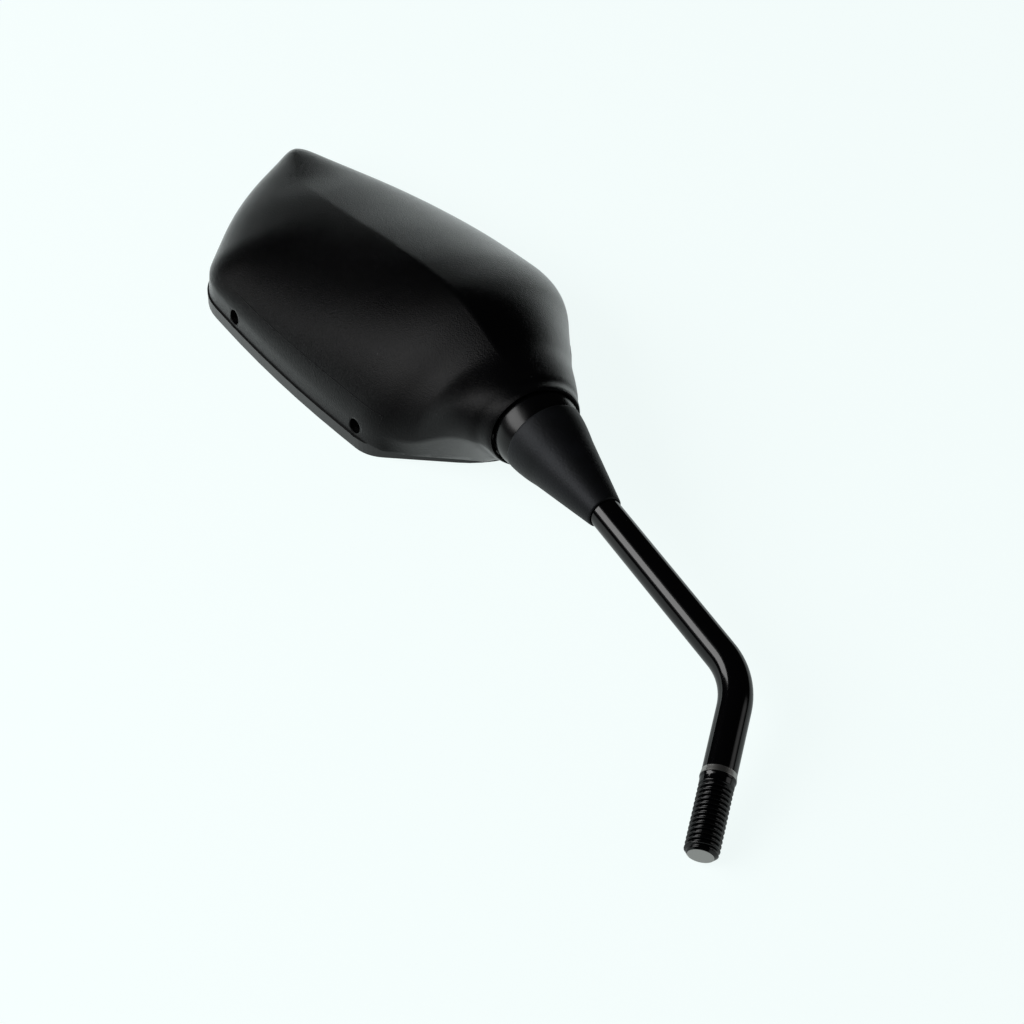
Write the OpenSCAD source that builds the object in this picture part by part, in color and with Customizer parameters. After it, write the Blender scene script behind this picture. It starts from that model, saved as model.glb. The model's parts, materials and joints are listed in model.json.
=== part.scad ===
/* [Stem] */
// Diameter of the stem and of its thread
stem_d = 10; // [9.6:0.1:10.4]
// Length of the thread below the origin
thread_len = 21.5; // [16:0.5:30]
// Chamfer at the end of the thread
thread_chamfer = 1.2; // [0.5:0.1:1.8]
// Plain run-out above the thread, at the thread's diameter
runout_len = 1.2; // [0.8:0.1:2]
// Diameter of the collar above the thread
collar_d = 10.5; // [10.5:0.1:11.5]
// Height of the collar
collar_len = 5.6; // [3:0.2:8]
// Height of the cones at both ends of the collar
collar_cone = 1.2; // [0.5:0.1:2]
// Distance from the origin up to the corner of the bend
lower_len = 34.8; // [28:0.2:50]
// Distance from the corner of the bend to the centre of the ball
upper_len = 112; // [95:1:130]
// Angle of the bend
bend_angle = 45; // [40:1:50]
// Radius of the bend at the middle of the rod
bend_r = 24; // [18:1:30]
// Diameter of the stem's slim neck below the ball
neck_d = 8; // [7.6:0.1:8.4]
// Diameter of the spigot inside the ball
spigot_d = 6.4; // [6:0.1:7]
// Diameter of the riveted end of the spigot
rivet_d = 8.4; // [8:0.1:9]
// Distance from the ball's centre down to the stem's shoulder
shoulder_at = 12.8; // [12.6:0.1:13.2]

/* [Ball joint] */
// Diameter of the ball
ball_d = 16; // [15:0.1:16.2]
// Thickness of the ball's two seats
seat_t = 1.1; // [0.9:0.05:1.3]
// Running clearance of the ball and of the seats
ball_fit = 0.06; // [0.03:0.01:0.1]
// Lower edge of the seat ring, as an angle from the stem
ring_from = 40; // [38:1:44]
// Distance from the ball's widest circle down to the seat ring
ring_drop = 0.8; // [0.5:0.1:1.5]
// Half angle of the seat cup
cup_angle = 58; // [45:1:62]
// Wall of the socket's nose
nose_t = 1.5; // [1.2:0.05:1.6]
// Mouth of the socket's nose, as an angle from its axis
nose_from = 47; // [46:1:50]
// Length of the socket behind the ball's centre
socket_len = 28; // [27.5:0.5:31]
// Clearance of the pad and the spring plate in the barrel
pad_fit = 0.1; // [0.05:0.05:0.2]
// Height of the back of the pad above the ball's centre
pad_back = 12.5; // [11.5:0.25:13]
// Diameter of the spring's wire
wire_d = 1.8; // [1.5:0.1:2]
// Number of turns of the spring
spring_turns = 3.5; // [3:0.5:4]
// Thickness of the spring plate
plate_t = 1.8; // [1.5:0.1:2.2]
// Thickness of the retaining ring
circlip_t = 1.2; // [1:0.1:1.4]
// Depth of the retaining ring's groove
circlip_groove = 0.9; // [0.6:0.1:1]

/* [Covers on the stem] */
// Outer diameter of the dust dome
dome_d = 27.2; // [27:0.1:27.6]
// Wall of the dust dome
dome_t = 1.2; // [1:0.05:1.3]
// Edge of the dust dome, as an angle from the stem
dome_to = 101; // [99:0.5:101.5]
// Distance from the ball's centre to the rim of the boot
boot_from = 5.2; // [4.8:0.1:6]
// Length of the boot
boot_len = 34.6; // [30:0.2:40]
// Diameter of the boot's mouth
boot_mouth_d = 11.6; // [11.2:0.1:13]
// Thickness of the boot's rim where it laps the dome
boot_lap = 0.5; // [0.4:0.05:0.6]
// Wall of the boot
boot_t = 1.5; // [1.1:0.1:2]
// Length of the boot's grip on the stem
grip_len = 7; // [5:0.5:10]
// Thickness of the grip ring inside the boot
oring_t = 1.8; // [1.5:0.1:2]

/* [Head] */
// Height of the ball's centre above the front edge
ball_h = 27.3; // [26.5:0.1:28.5]
// Turn of the head about the vertical
head_pan = 7; // [4:1:9]
// Lean of the head about its length
head_tilt = 13.7; // [12:0.1:15]
// Rise of the head's length above the horizontal
head_roll = 33; // [32:1:34]
// Rise of the neck's axis from the head's length
neck_angle = 19.5; // [18:0.5:21]
// Distance from the ball to the outer top corner, along the head
tip_x = 181.8; // [174:0.2:188]
// Height of the outer top corner above the ball
tip_z = 53.7; // [50:0.1:56]
// Distance from the ball to the outer bottom corner
heel_x = 144.3; // [138:0.1:150]
// Depth of the outer bottom corner below the ball
heel_z = 17.2; // [14:0.1:20]
// Distance from the ball to the inner bottom corner
toe_x = 49; // [45:1:52]
// Depth of the inner bottom corner below the ball
toe_z = 27.2; // [25:0.1:30]
// Distance from the ball to the inner top corner
brow_x = 46.2; // [43:0.1:50]
// Height of the inner top corner above the ball
brow_z = 59.6; // [56:0.1:62]
// Place of the holder's inner end, along the head
chin_x = 18; // [15:0.5:22]
// Height of the inner end's upper corner above the ball
chin_z = 28; // [25:0.5:32]
// Greatest height of the back above the front edge
crown_h = 47; // [45:0.5:49]
// Height of the back at the outer top corner
tip_h = 17; // [16:0.5:20]
// Outer radius of the neck at its lip
neck_r = 14.7; // [14.5:0.1:15.2]
// Radius of the neck's opening
lip_r = 13.95; // [13.9:0.05:14.1]
// Wall of the housing
wall = 2.4; // [2:0.1:2.8]
// Height of the side wall up to its parting line
band_h = 15; // [13:0.5:17]
// Height of the joint between the holder and the housing
split_h = 4.4; // [4:0.1:5]
// Inward lean of the side wall at the parting line
wall_lean = 1.2; // [0.6:0.1:1.8]

/* [Glass] */
// Radius of curvature of the convex glass
glass_r = 1200; // [1000:50:1600]
// Thickness of the glass
glass_t = 2; // [1.8:0.1:2.2]
// Thickness of the adhesive foam
foam_t = 1.2; // [1:0.1:1.5]
// Height of the glass's lowest point above the front edge
glass_low = 0.7; // [0.5:0.1:1]
// Width of the holder's rim round the glass
rim_w = 4.2; // [4:0.1:5]
// Gap between the glass and the holder's rim
glass_gap = 0.3; // [0.2:0.05:0.4]
// Thickness of the holder's web
web_t = 2; // [1.6:0.1:2.4]
// Height of the ribs on the holder's web
rib_h = 3; // [2:0.5:4]
// Thickness of the ribs
rib_t = 1.6; // [1.2:0.1:2]

/* [Screws] */
// Diameter of the two screws that hold the glass holder
holder_screw_d = 2.6; // [2.2:0.1:2.9]
// Head diameter of those screws
holder_head_d = 4.4; // [4:0.1:4.5]
// Diameter of the access holes in the housing's wall
access_d = 5; // [4.9:0.1:5.4]
// Height of the access holes above the front edge
access_h = 8; // [7.8:0.1:8.6]
// Diameter of the socket's screws
socket_screw_d = 3.5; // [3:0.1:3.9]
// Head diameter of the socket's screws
socket_head_d = 6.6; // [6:0.1:7]
// Thickness of the socket's ears
ear_t = 4; // [3:0.2:5]

/* [Hidden] */
$fn = 96;
// How far a cutting shape runs past what it cuts
over = 1;
// How far the straight stretches of the stem run into its bend, and how much fuller the bend is
lap = 0.02;
bend_swell = 0.03;

// The ball joint, from the ball outwards, as radii about the ball's centre
stem_r = stem_d / 2;
ball_r = ball_d / 2;
seat_in = ball_r + ball_fit;
seat_out = seat_in + seat_t;
nose_in = seat_out + ball_fit;
nose_out = nose_in + nose_t;
dome_r = dome_d / 2;
dome_in = dome_r - dome_t;
ball_flat = sqrt(pow(ball_r, 2) - pow(neck_d / 2, 2));
bend_reach = bend_r * tan(bend_angle / 2);
grip_at = grip_len + 2 - boot_from - boot_len;

// Places in the joint, along the neck's axis from the ball's centre
circlip_at = socket_len - circlip_t - 1.8;
plate_at = circlip_at - plate_t;
ear_x = 15;
ear_z = 27;
ear_far = 40;
ear_spots = [[-ear_x, ear_z], [ear_x, ear_z], [0, ear_far]];
ear_r = socket_head_d / 2 + 1;
washer_t = 0.8;
washer_d = socket_head_d + 1.4;
socket_head_t = 2.4;
socket_screw_len = 10;
boss_r = ear_r - 0.4;

// Screws of the glass holder, from the inner one to the outer one
access_x = [55.4, 123.8];
boss_deep = 6.2;
head_seat = 4.8;
holder_head_t = 1.6;
holder_screw_len = 8;
lug_w = 7;
lug_deep = 8;

// Clearance of a screw in its hole, and of the dust dome on the stem's neck, on the diameter
screw_fit = 0.3;
dome_fit = 0.1;

// How much wider a screw's pilot hole is drawn than the screw, and the room round the socket
pilot_fit = 0.1;
socket_room = 0.4;

// Ribs on the holder's web, along the head and across it
rib_x = [44, 71, 98, 125, 150];
rib_z = [0, 28];

// Fins round the bosses of the socket's screws
fin_t = 1.6;
fin_w = 3;

// Centre of the glass's curve in the plan, and how far the dished surfaces reach round it
glass_x = 98;
glass_z = 14;
dish_reach = 96;
dish_steps = 12;
back_r = glass_r - glass_t;
web_r = back_r - foam_t;
web_back = glass_low + glass_t + foam_t + web_t;

// How far the foam stays inside the rim's edge
foam_in = 1.2;

function unit(v) = v / norm(v);
function mix(a, b, t) = a + (b - a) * t;
function smooth(t) = let (c = min(max(t, 0), 1)) c * c * (3 - 2 * c);
function bezier(p, t) = len(p) == 1 ? p[0]
    : bezier([for (i = [0 : len(p) - 2]) mix(p[i], p[i + 1], t)], t);

// Plan of the head: x runs outwards along the head, the second value runs up
neck_side = neck_r * [-sin(neck_angle), cos(neck_angle)];
toe = [toe_x, -toe_z];
heel = [heel_x, -heel_z];
tip = [tip_x, tip_z];
brow = [brow_x, brow_z];
bottom_bow = mix(toe, heel, 0.5) - [0, 3.2];
outer_bow = mix(heel, tip, 0.5) + [5, -2];
top_bow = mix(brow, tip, 0.5) + [0, 9];
corner_steps = 6;

// Each corner of the plan with how far its rounding reaches along both edges
plan_corners = [[toe, 5.5], [bottom_bow, 34], [heel, 8.5], [outer_bow, 18], [tip, 9.5],
    [top_bow, 46], [brow, 12]];
function corner(a, v, b, cut) = let (p = v + unit(a - v) * cut, q = v + unit(b - v) * cut)
    [for (i = [0 : corner_steps]) bezier([p, v, q], i / corner_steps)];
plan_points = concat([[-neck_side, 0]], plan_corners, [[neck_side, 0]]);
plan_path = [for (i = [1 : len(plan_points) - 2])
    each corner(plan_points[i - 1][0], plan_points[i][0], plan_points[i + 1][0], plan_points[i][1])];
tip_at = 4 * (corner_steps + 1) + corner_steps / 2;
lower_arcs = [for (i = [0 : tip_at]) plan_path[i]];
upper_arcs = [for (i = [len(plan_path) - 1 : -1 : tip_at]) plan_path[i]];

// Along each side the flank starts at the neck and the rim starts at the holder's inner end
inner_low = [chin_x, 0];
inner_high = [chin_x - 6, chin_z];
lower_flank = [-neck_side, each lower_arcs];
upper_flank = [neck_side, each upper_arcs];
lower_rim = [inner_low, each lower_arcs];
upper_rim = [inner_high, each upper_arcs];

function lengths(p) = [for (i = 0, s = 0; i < len(p);
    s = s + (i + 1 < len(p) ? norm(p[i + 1] - p[i]) : 0), i = i + 1) s];
function table(p, s, k) = [for (i = [0 : len(p) - 1]) [s[i] / s[len(p) - 1], p[i][k]]];
function tables(p, s) = [table(p, s, 0), table(p, s, 1)];
lower_side = [tables(lower_rim, lengths(lower_flank)), tables(lower_flank, lengths(lower_flank))];
upper_side = [tables(upper_rim, lengths(upper_flank)), tables(upper_flank, lengths(upper_flank))];
toe_share = lengths(lower_flank)[1] / lengths(lower_flank)[len(lower_flank) - 1];
brow_share = lengths(upper_flank)[1] / lengths(upper_flank)[len(upper_flank) - 1];
function along(path, f) = [lookup(f, path[0]), lookup(f, path[1])];
// Inward normal of a path, where side is 1 on the lower path and -1 on the upper one
function inward(path, f, side) = let (e = 0.012,
    d = unit(along(path, min(f + e, 1)) - along(path, max(f - e, 0)))) side * [-d[1], d[0]];

// The ridge of the back, from the neck's lip to the tip: along, up, and height above the front edge
ridge = [[0, 0, ball_h + neck_r], [20, 4, ball_h + neck_r + 0.6], [42, 9, crown_h],
    [66, 14, crown_h - 3], [92, 19.5, crown_h - 9], [117, 24.5, crown_h - 15.5],
    [138, 29, crown_h - 21], [154.5, 34.5, crown_h - 26], [tip_x - 11, tip_z - 8, tip_h]];
function spline(p, t) = let (n = len(p) - 1, i = min(floor(t * n), n - 1), u = t * n - i,
    a = p[max(i - 1, 0)], b = p[i], c = p[i + 1], d = p[min(i + 2, n)])
    0.5 * (2 * b + (c - a) * u + (2 * a - 5 * b + 4 * c - d) * u * u
        + (3 * b - a - 3 * c + d) * u * u * u);

// One half of a section through the head, from the front edge over the side wall to the ridge
wall_steps = 3;
neck_axis = [cos(neck_angle), sin(neck_angle)];
function half_section(paths, side, f, inset, base, steps) = let (
    share = side > 0 ? toe_share : brow_share, neck = 1 - smooth(f / share),
    edge = along(paths[0], f) + inward(paths[0], f, side) * inset + neck_axis * inset * neck,
    n = inward(paths[1], f, side), foot = along(paths[1], f) + n * (inset + wall_lean),
    band = mix(mix(band_h, band_h - 3, smooth(2 * f - 1)), ball_h, neck) - inset / 2 * (1 - neck),
    crest = spline(ridge, f) - [0, 0, inset], rise = crest[2] - band, to = [crest[0], crest[1]],
    full = mix(side > 0 ? 0.3 : 0.55, 0.56, neck), flat = mix(side > 0 ? 0.2 : 0.07, 0, neck),
    reach = mix(side > 0 ? 0.45 : 0.5, 0.56, neck), lean = side > 0 ? 0.15 * (1 - neck) : 0,
    roof = [[each foot, band], [each mix(foot, to, lean), band + rise * full],
        [each mix(to, foot, reach), crest[2] - rise * flat], crest])
    concat([for (i = [0 : wall_steps - 1]) mix([each edge, base], [each foot, band], i / wall_steps)],
        [for (i = [0 : steps]) bezier(roof, i / steps)]);

// The same half as part of the neck's round section, from the front over the side to the top
function half_round(side, mid, across, width, top, under, steps) = [
    for (t = [each [for (i = [0 : wall_steps - 1]) mix(125, 90, i / wall_steps)],
        each [for (i = [0 : steps]) mix(90, 0, i / steps)]])
        [each (mid - side * across * width * sin(t)), ball_h + cos(t) * (cos(t) > 0 ? top : under)]];

// A whole section: lower half, upper half, then the open front from the upper edge to the lower one
function section(f, inset, base, steps, front) = let (
    low = half_section(lower_side, 1, f, inset, base, steps),
    high = half_section(upper_side, -1, f, inset, base, steps),
    a = along(lower_side[1], f), b = along(upper_side[1], f),
    width = norm(b - a) / 2 - inset, across = unit(b - a), mid = (a + b) / 2,
    crest = len(low) - 1, top = low[crest][2] - ball_h, under = neck_r - inset,
    round_low = half_round(1, mid, across, width, top, under, steps),
    round_high = half_round(-1, mid, across, width, top, under, steps),
    body = smooth(f / neck_share), rim = smooth(f / rim_share),
    mixed_low = [for (i = [0 : crest]) mix(round_low[i], low[i], mix(rim, body, min(i / wall_steps, 1)))],
    mixed_high = [for (i = [0 : crest]) mix(round_high[i], high[i], mix(rim, body, min(i / wall_steps, 1)))],
    chin = [for (i = [1 : front]) let (t = 125 + 110 * i / (front + 1))
        mix([each (mid + across * width * sin(t)), ball_h + cos(t) * under],
            mix(high[0], low[0], i / (front + 1)), rim)])
    concat(mixed_low, [for (i = [crest - 1 : -1 : 0]) mixed_high[i]], chin);
neck_share = 0.12;
rim_share = 0.03;

// Sections lie closer together near the neck and near the tip
function spread(t) = t - 0.08 * sin(360 * t);

// Closed skin over the sections, which close on one shared rib at the tip
module head_skin(inset, base, stations, steps, front) {
    rib = wall_steps + steps;
    ring = 2 * rib + 1 + front;
    last = stations * ring;
    points = [for (j = [0 : stations]) let (s = section(min(spread(j / stations), 0.9999), inset, base, steps, front))
        each (j < stations ? s : [for (i = [0 : rib]) s[i]])];
    function at(j, i) = let (k = i % ring) j < stations ? j * ring + k
        : last + (k <= rib ? k : k <= 2 * rib ? 2 * rib - k : 0);
    quads = [for (j = [0 : stations - 1], i = [0 : ring - 1])
        [at(j, i), at(j + 1, i), at(j + 1, i + 1), at(j, i + 1)]];
    tris = [for (q = quads) each [[q[0], q[1], q[2]], [q[0], q[2], q[3]]]];
    faces = concat([[for (i = [0 : ring - 1]) i]],
        [for (t = tris) if (t[0] != t[1] && t[1] != t[2] && t[2] != t[0]) t]);
    polyhedron([for (p = points) [p[0], p[2] - ball_h, p[1]]], faces);
}

// Outline of the glass holder, which closes across the head's inner end
holder_corners = concat([[inner_low, 12]], plan_corners, [[inner_high, 14]]);
function closed_path(c) = let (n = len(c)) [for (i = [0 : n - 1])
    each corner(c[(i + n - 1) % n][0], c[i][0], c[(i + 1) % n][0], c[i][1])];
holder_path = closed_path(holder_corners);
function shrink(p, d) = let (n = len(p)) [for (i = [0 : n - 1])
    let (t = unit(p[(i + 1) % n] - p[(i + n - 1) % n])) p[i] + d * [-t[1], t[0]]];

// Frames of reference
module at_ball() translate([0, 0, lower_len]) rotate([0, bend_angle, 0])
    translate([0, 0, upper_len]) children();
module in_head() translate(ball_place) rotate([0, 0, head_pan]) rotate([head_tilt, 0, 0])
    rotate([0, -head_roll, 0]) children();
module in_neck() in_head() rotate([0, 90 - neck_angle, 0]) children();
module in_plan(from, to) translate([0, to - ball_h, 0]) rotate([90, 0, 0])
    linear_extrude(to - from) children();
ball_place = [upper_len * sin(bend_angle), 0, lower_len + upper_len * cos(bend_angle)];

module cone_up(angle, reach) cylinder(h = reach, r1 = 0, r2 = reach * tan(angle));

module stem() color("black") {
    foot = [[0, -thread_len], [stem_r - thread_chamfer, -thread_len],
        [stem_r, thread_chamfer - thread_len], [stem_r, runout_len],
        [collar_d / 2, runout_len + collar_cone], [collar_d / 2, runout_len + collar_cone + collar_len],
        [stem_r, runout_len + 2 * collar_cone + collar_len], [stem_r, lower_len - bend_reach + lap],
        [0, lower_len - bend_reach + lap]];
    rotate_extrude() polygon(foot);
    translate([bend_r, 0, lower_len - bend_reach]) rotate([90, 0, 0]) rotate([0, 0, 180 - bend_angle])
        rotate_extrude(angle = bend_angle) translate([bend_r, 0]) circle(stem_r + bend_swell);
    sink = (rivet_d - spigot_d) / 2;
    rivet_at = sqrt(pow(ball_r, 2) - pow(rivet_d / 2, 2));
    top = [[0, bend_reach - upper_len - lap], [stem_r, bend_reach - upper_len - lap], [stem_r, -shoulder_at],
        [neck_d / 2, -shoulder_at], [neck_d / 2, -ball_flat], [spigot_d / 2, -ball_flat],
        [spigot_d / 2, rivet_at - sink], [rivet_d / 2, rivet_at], [0, rivet_at]];
    at_ball() rotate_extrude() polygon(top);
}

module stem_ball() color("dimgray") at_ball() difference() {
    sink = (rivet_d - spigot_d) / 2;
    rivet_at = sqrt(pow(ball_r, 2) - pow(rivet_d / 2, 2));
    sphere(ball_r);
    translate([0, 0, -ball_r - over]) cylinder(h = ball_r - ball_flat + over, r = ball_r);
    translate([0, 0, -ball_r]) cylinder(h = 2 * ball_r, d = spigot_d);
    translate([0, 0, rivet_at - sink]) cylinder(h = sink, d1 = spigot_d, d2 = rivet_d);
    translate([0, 0, rivet_at]) cylinder(h = ball_r, r = ball_r);
}

module dust_dome() color([0.05, 0.05, 0.06]) at_ball() difference() {
    hub_r = stem_r + 0.6;
    hub_top = 0.92 * dome_in;
    union() {
        difference() {
            sphere(dome_r);
            sphere(dome_in);
        }
        translate([0, 0, -shoulder_at]) cylinder(h = shoulder_at - hub_top, r = hub_r);
    }
    translate([0, 0, -dome_r - over]) cylinder(h = dome_r, d = neck_d + dome_fit);
    translate([0, 0, -dome_r - over]) cylinder(h = dome_r - shoulder_at + over, r = dome_r);
    cone_up(180 - dome_to, 2 * dome_r);
}

module boot() color([0.12, 0.12, 0.13]) at_ball() {
    rim_r = sqrt(pow(dome_r, 2) - pow(boot_from, 2)) + boot_lap;
    mouth_at = -boot_from - boot_len;
    mouth_r = boot_mouth_d / 2;
    hip_at = -boot_from - 0.31 * boot_len;
    hip = [mix(mouth_r, rim_r, 0.7), hip_at];
    deep = 4;
    outside = [for (i = [0 : 8]) bezier([[rim_r, -boot_from], [rim_r - 0.35, -boot_from - deep], hip], i / 8)];
    bore_r = stem_r + 0.2;
    seat = dome_r + 0.05;
    ring_fit = 0.06;
    difference() {
        rotate_extrude() polygon(concat([[0, -boot_from]], outside, [[mouth_r, mouth_at + 0.4],
            [mouth_r - 0.4, mouth_at], [0, mouth_at]]));
        sphere(seat);
        rotate_extrude() polygon([[0, -boot_from - deep], [hip[0] - boot_t, -boot_from - deep],
            [hip[0] - boot_t, hip_at], [bore_r, grip_at + over], [bore_r, mouth_at - over],
            [0, mouth_at - over]]);
        translate([0, 0, grip_at]) rotate_extrude()
            translate([stem_r + oring_t / 2, 0]) circle(d = oring_t + 2 * ring_fit, $fn = 32);
    }
}

module grip_ring() color("black") at_ball()
    translate([0, 0, grip_at]) rotate_extrude()
    translate([stem_r + oring_t / 2 + 0.02, 0]) circle(d = oring_t, $fn = 32);

module seat_ring() color("ivory") at_ball() difference() {
    sphere(seat_out);
    sphere(seat_in);
    mirror([0, 0, 1]) cone_up(ring_from, 2 * ball_r);
    translate([0, 0, -ring_drop]) cylinder(h = 2 * ball_r, r = 2 * ball_r);
}

module seat_cup() color("ivory") in_neck() intersection() {
    difference() {
        sphere(seat_out);
        sphere(seat_in);
    }
    cone_up(cup_angle, 2 * ball_r);
}

// Upright cylinder across the neck, for the ears of the socket and what passes through them
module at_ears(height) for (s = ear_spots) translate([s[0], height, s[1]]) rotate([90, 0, 0]) children();

module ball_socket() color([0.2, 0.2, 0.22]) in_neck() difference() {
    union() {
        sphere(nose_out);
        cylinder(h = socket_len, r = nose_out);
        translate([0, ear_t / 2, 0]) rotate([90, 0, 0]) linear_extrude(ear_t)
            polygon([[-nose_out, ear_z - 12], [-ear_x - ear_r * 0.9, ear_z - 2], [-ear_x, ear_z + ear_r],
                [-ear_r, ear_far], [ear_r, ear_far], [ear_x, ear_z + ear_r],
                [ear_x + ear_r * 0.9, ear_z - 2], [nose_out, ear_z - 12]]);
        at_ears(ear_t / 2) cylinder(h = ear_t, r = ear_r);
    }
    sphere(nose_in);
    cylinder(h = socket_len + over, r = nose_in);
    translate([0, 0, circlip_at]) cylinder(h = circlip_t, r = nose_in + circlip_groove);
    mirror([0, 0, 1]) cone_up(nose_from, 2 * nose_out);
    at_ears(ear_t) cylinder(h = 3 * ear_t, d = socket_screw_d + screw_fit);
}

module socket_screws() color("silver") in_neck() at_ears(-ear_t / 2 - washer_t) {
    cylinder(h = socket_head_t, d1 = socket_head_d, d2 = socket_head_d - 1.4);
    translate([0, 0, -socket_screw_len]) cylinder(h = socket_screw_len, d = socket_screw_d);
}

module socket_washers() color("gainsboro") in_neck() at_ears(-ear_t / 2) difference() {
    cylinder(h = washer_t, d = washer_d);
    translate([0, 0, -over]) cylinder(h = washer_t + 2 * over, d = socket_screw_d + screw_fit);
}

module pressure_pad() color("dimgray") in_neck() difference() {
    pad_front = 0.45 * nose_in;
    translate([0, 0, pad_front]) cylinder(h = pad_back - pad_front, r = nose_in - pad_fit);
    sphere(nose_in);
}

// Round wire swept along a helix, closed by a flat end at each side
module joint_spring() color("silver") in_neck() {
    sides = 8;
    steps = round(spring_turns * 16);
    coil_r = nose_in - wire_d / 2 - 0.8;
    low = pad_back + wire_d / 2 + 0.1;
    high = plate_at - wire_d / 2 - 0.1;
    points = [for (j = [0 : steps], i = [0 : sides - 1])
        let (a = 360 * spring_turns * j / steps, b = 360 * i / sides, r = coil_r + cos(b) * wire_d / 2)
        [r * cos(a), r * sin(a), mix(low, high, j / steps) + sin(b) * wire_d / 2]];
    sweep = [for (j = [0 : steps - 1], i = [0 : sides - 1]) let (k = (i + 1) % sides)
        each [[j * sides + i, (j + 1) * sides + k, (j + 1) * sides + i],
            [j * sides + i, j * sides + k, (j + 1) * sides + k]]];
    polyhedron(points, concat([[for (i = [sides - 1 : -1 : 0]) i]], sweep,
        [[for (i = [0 : sides - 1]) steps * sides + i]]));
}

module spring_plate() color("silver") in_neck() translate([0, 0, plate_at]) difference() {
    cylinder(h = plate_t, r = nose_in - pad_fit);
    translate([0, 0, -over]) cylinder(h = plate_t + 2 * over, r = 3);
}

module retaining_ring() color("gray") in_neck() translate([0, 0, circlip_at]) {
    open = 50;
    in_r = nose_in - 1.6;
    lug_r = 1.9;
    rotate([0, 0, open / 2]) rotate_extrude(angle = 360 - open)
        translate([in_r, 0]) square([nose_in + circlip_groove - 0.1 - in_r, circlip_t]);
    for (side = [-1, 1]) rotate([0, 0, side * (open / 2 + 6)]) translate([in_r - 0.6, 0, 0]) difference() {
        cylinder(h = circlip_t, r = lug_r);
        translate([0, 0, -over]) cylinder(h = circlip_t + 2 * over, r = 0.7);
    }
}

// Holder screws run inwards, square to the bottom edge, from a point on that edge
edge_lean = atan2(heel[1] - toe[1], heel[0] - toe[0]);
function edge_z(x) = let (p = [for (q = lower_flank) if (q[0] > toe_x + 2 && q[1] < 0) q]) lookup(x, p);
module at_access() for (x = access_x)
    translate([x, access_h - ball_h, edge_z(x)]) rotate([0, -edge_lean, 0]) children();

// Room for the housing's two access bosses in what lies inside it
module boss_notches() at_access() translate([0, 0, -over])
    cylinder(h = boss_deep + over + 0.2, d = access_d + 2.6);

module housing() color([0.13, 0.13, 0.14]) in_head() difference() {
    bead_d = neck_r - lip_r + 0.4;
    union() {
        difference() {
            head_skin(0, 0, 56, 10, 4);
            head_skin(wall, -over, 36, 7, 4);
        }
        rotate([0, 90 - neck_angle, 0]) rotate_extrude($fn = 64)
            translate([(neck_r + lip_r) / 2, 0]) circle(d = bead_d, $fn = 12);
        intersection() {
            head_skin(wall / 2, 0, 36, 7, 4);
            union() {
                rotate([0, 90 - neck_angle, 0]) at_ears(ear_t / 2 + crown_h) socket_boss();
                at_access() cylinder(h = boss_deep, d = access_d + 2, $fn = 24);
            }
        }
    }
    rotate([0, 90 - neck_angle, 0]) translate([0, 0, -over]) cylinder(h = 14, r = lip_r, $fn = 64);
    rotate([0, 90 - neck_angle, 0]) cylinder(h = socket_len + over, r = nose_out + socket_room, $fn = 64);
    rotate([0, 90 - neck_angle, 0]) at_ears(ear_t / 2 + socket_screw_len - ear_t + over)
        cylinder(h = socket_screw_len, d = socket_screw_d + pilot_fit, $fn = 24);
    at_access() translate([0, 0, -2 * over]) cylinder(h = head_seat + 2 * over, d = access_d, $fn = 24);
    at_access() cylinder(h = boss_deep + over, d = holder_screw_d + screw_fit, $fn = 16);
    translate([-tip_x, -3 * ball_h + split_h, -tip_x]) cube([3 * tip_x, 2 * ball_h, 3 * tip_x]);
}

// Moulded boss for a screw of the socket, from the back's wall down to the ear, with fins round it
module socket_boss() {
    cylinder(h = crown_h, r = boss_r, $fn = 24);
    for (turn = [30, 90, 150]) rotate([0, 0, turn]) hull() {
        translate([-boss_r - fin_w, -fin_t / 2, 0]) cube([2 * (boss_r + fin_w), fin_t, crown_h / 2]);
        translate([-boss_r + 0.2, -fin_t / 2, 0]) cube([2 * (boss_r - 0.2), fin_t, crown_h - over]);
    }
}

// What lies behind a dished surface of radius r about the centre of the glass's curve
module dished(r) translate([glass_x, glass_low - ball_h + glass_r, glass_z]) rotate([-90, 0, 0])
    rotate_extrude() polygon(concat(
        [for (i = [0 : dish_steps]) let (x = dish_reach * i / dish_steps) [x, -sqrt(r * r - x * x)]],
        [[dish_reach, 2 * band_h - r], [0, 2 * band_h - r]]));

module glass_holder() color([0.1, 0.1, 0.11]) in_head() difference() {
    tuck = wall + 0.6 * wall_lean + 0.3;
    union() {
        difference() {
            union() {
                in_plan(0, split_h) polygon(holder_path);
                in_plan(0, band_h) polygon(shrink(holder_path, tuck));
            }
            dished(web_r - web_t);
            difference() {
                in_plan(-over, band_h) polygon(shrink(holder_path, rim_w));
                dished(web_r);
            }
        }
        intersection() {
            in_plan(0, band_h) polygon(shrink(holder_path, rim_w));
            dished(web_r - web_t / 2);
            union() {
                for (x = rib_x) translate([x, web_back - over - ball_h, glass_z - tip_z])
                    cube([rib_t, rib_h + over, 2 * tip_z]);
                for (z = rib_z) translate([0, web_back - over - ball_h, z]) cube([tip_x, rib_h + over, rib_t]);
            }
        }
        at_access() translate([-lug_w / 2, web_back - ball_h - (access_h - ball_h), boss_deep + 0.3])
            cube([lug_w, access_h + lug_w / 2 - web_back, lug_deep]);
    }
    boss_notches();
    at_access() translate([0, 0, boss_deep - over]) cylinder(h = lug_deep + 2 * over, d = holder_screw_d + pilot_fit);
}

module holder_screws() color("silver") in_head() at_access() {
    translate([0, 0, head_seat - holder_head_t])
        cylinder(h = holder_head_t, d1 = holder_head_d - 1, d2 = holder_head_d);
    translate([0, 0, head_seat]) cylinder(h = holder_screw_len, d = holder_screw_d);
}

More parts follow.
